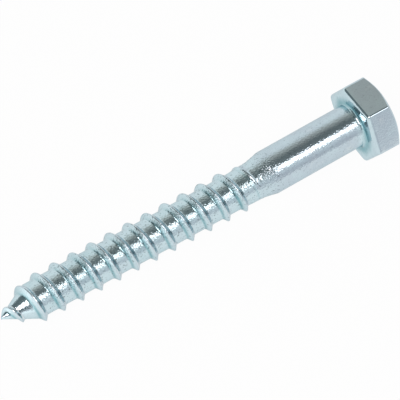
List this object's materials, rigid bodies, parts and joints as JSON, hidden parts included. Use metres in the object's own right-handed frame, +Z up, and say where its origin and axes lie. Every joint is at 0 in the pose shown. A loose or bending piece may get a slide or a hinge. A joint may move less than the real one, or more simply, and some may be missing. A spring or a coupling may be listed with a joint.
{
  "type": "lag screw",
  "caption": "Hexagon head lag screw with plain shank, coarse right-hand wood thread and gimlet point, lying on its side at rest.",
  "frame": {"origin": "on the bench, in the middle of the screw's footprint as it lies at rest", "axes": "+X towards the head along the bench, +Z up; the screw's axis drops 2.2 degrees towards the point"},
  "size_m": [0.0756, 0.0148, 0.0132],
  "materials": {
    "zinc_plated_steel": "bright zinc plate with a clear blue passivate"
  },
  "bodies": {
    "root": {"lag_screw": "zinc_plated_steel"}
  },
  "joints": []
}
